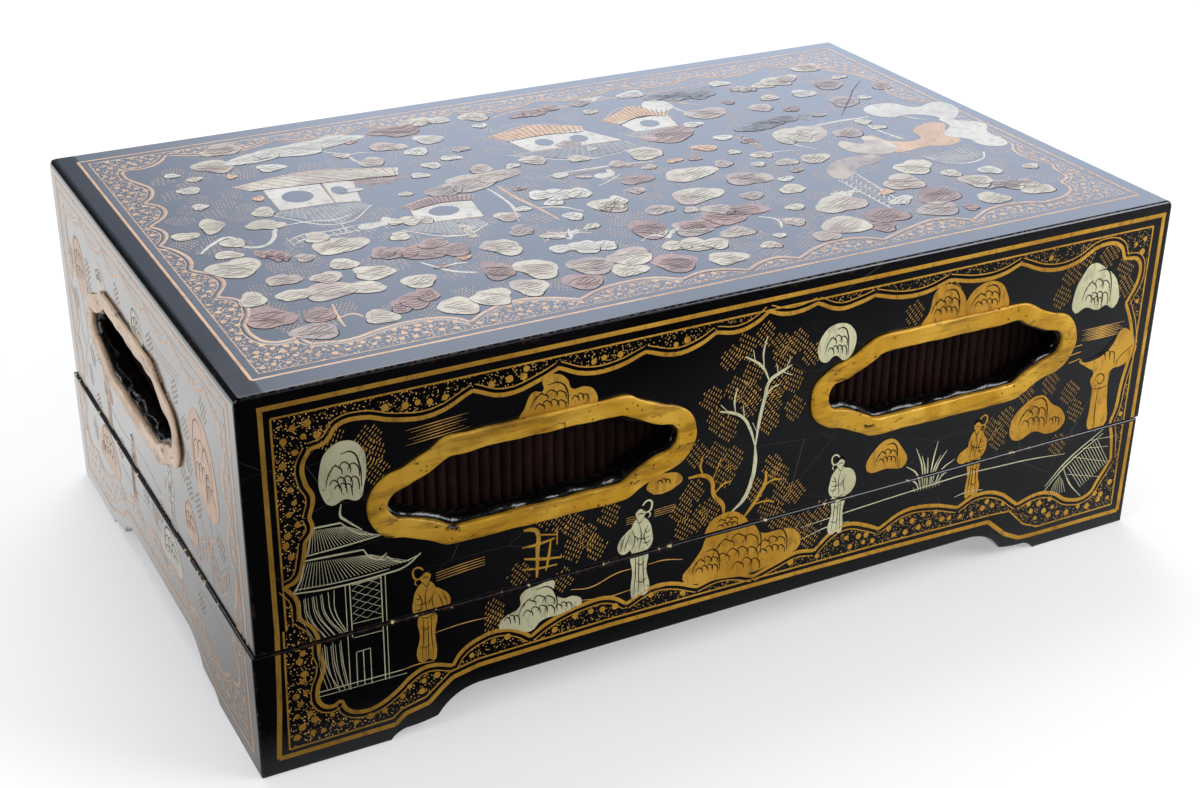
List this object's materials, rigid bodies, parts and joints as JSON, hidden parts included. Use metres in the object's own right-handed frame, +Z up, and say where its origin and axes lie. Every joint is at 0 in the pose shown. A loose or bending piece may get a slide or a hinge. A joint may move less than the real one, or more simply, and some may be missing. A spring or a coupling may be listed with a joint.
{
  "type": "mahjong case with drawers",
  "caption": "Lacquered games case on bracket feet: a deep lift-off cover with carved hand windows over a reeded chest of shallow drawers with ring pulls.",
  "frame": {"origin": "on the ground under the middle of the outline", "axes": "+X the case's right end, +Y its back where the drawers open, +Z up"},
  "size_m": [0.404, 0.252, 0.153],
  "materials": {
    "cover_lacquer": "polished black lacquer with gilt painting",
    "base_lacquer": "polished black lacquer with gilt painting",
    "chest_lacquer": "satin black lacquer",
    "reed_lacquer": "satin red-brown lacquer on reeded board",
    "drawer_lacquer": "satin black lacquer with a gilt line",
    "drawer_wood": "plain planed softwood",
    "inner_wood": "thin red-brown lacquer on softwood",
    "gilt": "carved wood under brushed gold lacquer",
    "brass": "aged brass"
  },
  "bodies": {
    "base": {"base_back_wall": "base_lacquer", "base_chest_ledges": "inner_wood", "base_corner_blocks": "inner_wood", "base_floor_board": "inner_wood", "base_front_wall": "base_lacquer", "base_left_wall": "base_lacquer", "base_right_wall": "base_lacquer"},
    "chest": {"chest_bottom_board": "chest_lacquer", "chest_front_panel": "reed_lacquer", "chest_left_panel": "reed_lacquer", "chest_partition": "chest_lacquer", "chest_right_panel": "reed_lacquer", "chest_top_board": "chest_lacquer", "dust_boards_level_1": "chest_lacquer", "dust_boards_level_2": "chest_lacquer"},
    "cover": {"cover_back_left_stile": "cover_lacquer", "cover_back_rail": "cover_lacquer", "cover_back_right_stile": "cover_lacquer", "cover_front_wall": "cover_lacquer", "cover_left_wall": "cover_lacquer", "cover_right_wall": "cover_lacquer", "cover_top_board": "cover_lacquer", "front_left_window_frame": "gilt", "front_right_window_frame": "gilt", "left_window_frame": "gilt", "right_window_frame": "gilt"},
    "drawer_1": {"drawer_1_front": "drawer_lacquer", "drawer_1_sides": "drawer_wood", "drawer_1_bottom": "drawer_wood", "drawer_1_pull_plate": "brass"},
    "ring_1": {"drawer_1_ring": "brass"},
    "drawer_2": {"drawer_2_front": "drawer_lacquer", "drawer_2_sides": "drawer_wood", "drawer_2_bottom": "drawer_wood", "drawer_2_pull_plate": "brass"},
    "ring_2": {"drawer_2_ring": "brass"},
    "drawer_3": {"drawer_3_front": "drawer_lacquer", "drawer_3_sides": "drawer_wood", "drawer_3_bottom": "drawer_wood", "drawer_3_pull_plate": "brass"},
    "ring_3": {"drawer_3_ring": "brass"},
    "drawer_4": {"drawer_4_front": "drawer_lacquer", "drawer_4_sides": "drawer_wood", "drawer_4_bottom": "drawer_wood", "drawer_4_pull_plate": "brass"},
    "ring_4": {"drawer_4_ring": "brass"},
    "drawer_5": {"drawer_5_front": "drawer_lacquer", "drawer_5_sides": "drawer_wood", "drawer_5_bottom": "drawer_wood", "drawer_5_pull_plate": "brass"},
    "ring_5": {"drawer_5_ring": "brass"},
    "drawer_6": {"drawer_6_front": "drawer_lacquer", "drawer_6_sides": "drawer_wood", "drawer_6_bottom": "drawer_wood", "drawer_6_pull_plate": "brass"},
    "ring_6": {"drawer_6_ring": "brass"}
  },
  "joints": [
    {"name": "chest_lift", "type": "slide", "parent": "base", "child": "chest", "axis": [0, 0, 1], "range_m": [0, 0.06]},
    {"name": "cover_lift", "type": "slide", "parent": "chest", "child": "cover", "axis": [0, 0, 1], "range_m": [0, 0.12]},
    {"name": "drawer_1_slide", "type": "slide", "parent": "chest", "child": "drawer_1", "axis": [0, 1, 0], "range_m": [0, 0.18]},
    {"name": "drawer_1_ring_swing", "type": "hinge", "parent": "drawer_1", "child": "ring_1", "pos_m": [-0.0937, 0.1184, 0.06967], "axis": [1, 0, 0], "range_deg": [0, 90]},
    {"name": "drawer_2_slide", "type": "slide", "parent": "chest", "child": "drawer_2", "axis": [0, 1, 0], "range_m": [0, 0.18]},
    {"name": "drawer_2_ring_swing", "type": "hinge", "parent": "drawer_2", "child": "ring_2", "pos_m": [0.0913, 0.1184, 0.06967], "axis": [1, 0, 0], "range_deg": [0, 90]},
    {"name": "drawer_3_slide", "type": "slide", "parent": "chest", "child": "drawer_3", "axis": [0, 1, 0], "range_m": [0, 0.18]},
    {"name": "drawer_3_ring_swing", "type": "hinge", "parent": "drawer_3", "child": "ring_3", "pos_m": [-0.0937, 0.1184, 0.099], "axis": [1, 0, 0], "range_deg": [0, 90]},
    {"name": "drawer_4_slide", "type": "slide", "parent": "chest", "child": "drawer_4", "axis": [0, 1, 0], "range_m": [0, 0.18]},
    {"name": "drawer_4_ring_swing", "type": "hinge", "parent": "drawer_4", "child": "ring_4", "pos_m": [0.0913, 0.1184, 0.099], "axis": [1, 0, 0], "range_deg": [0, 90]},
    {"name": "drawer_5_slide", "type": "slide", "parent": "chest", "child": "drawer_5", "axis": [0, 1, 0], "range_m": [0, 0.18]},
    {"name": "drawer_5_ring_swing", "type": "hinge", "parent": "drawer_5", "child": "ring_5", "pos_m": [-0.0937, 0.1184, 0.12833], "axis": [1, 0, 0], "range_deg": [0, 90]},
    {"name": "drawer_6_slide", "type": "slide", "parent": "chest", "child": "drawer_6", "axis": [0, 1, 0], "range_m": [0, 0.18]},
    {"name": "drawer_6_ring_swing", "type": "hinge", "parent": "drawer_6", "child": "ring_6", "pos_m": [0.0913, 0.1184, 0.12833], "axis": [1, 0, 0], "range_deg": [0, 90]}
  ]
}
